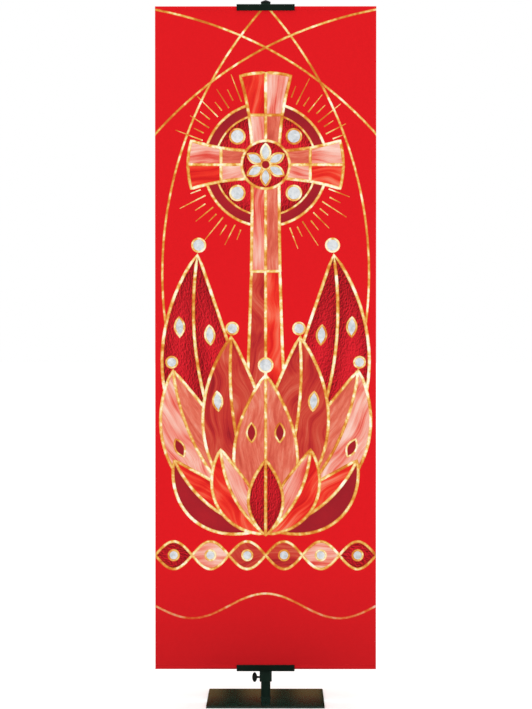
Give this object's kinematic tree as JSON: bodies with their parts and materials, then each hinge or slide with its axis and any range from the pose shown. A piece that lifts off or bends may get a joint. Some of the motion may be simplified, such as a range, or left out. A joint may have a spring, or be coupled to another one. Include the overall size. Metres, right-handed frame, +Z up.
{
  "type": "church banner hung on its pole stand",
  "caption": "Tall red church banner printed with a gold-lined cross and leaves, held between short channels on a steel pole with a flat square base plate.",
  "frame": {"origin": "on the floor under the pole's axis, at the centre of the base plate's underside", "axes": "+Z up along the pole, +X to the right across the banner, -Y the way the printed face looks"},
  "size_m": [0.6096, 0.322, 1.9364],
  "materials": {
    "printed_cloth": "matt printed polyester",
    "gloss_enamel": "semi-gloss black",
    "black_enamel": "satin black",
    "black_plastic": "satin moulded",
    "blackened_steel": "black oxide"
  },
  "bodies": {
    "banner_on_stand": {"banner_cloth": "printed_cloth", "base_plate": "gloss_enamel", "pole": "black_enamel", "pole_cap": "black_plastic", "top_channel": "black_enamel", "bottom_channel": "black_enamel", "top_collar": "black_enamel", "bottom_collar": "black_enamel"},
    "thumbscrew_body": {"thumbscrew": "blackened_steel"}
  },
  "joints": [
    {"name": "thumbscrew_turn", "type": "hinge", "parent": "banner_on_stand", "child": "thumbscrew_body", "pos_m": [0, 0, 0.0615], "axis": [-1, 0, 0], "range_deg": [0, 450]}
  ]
}
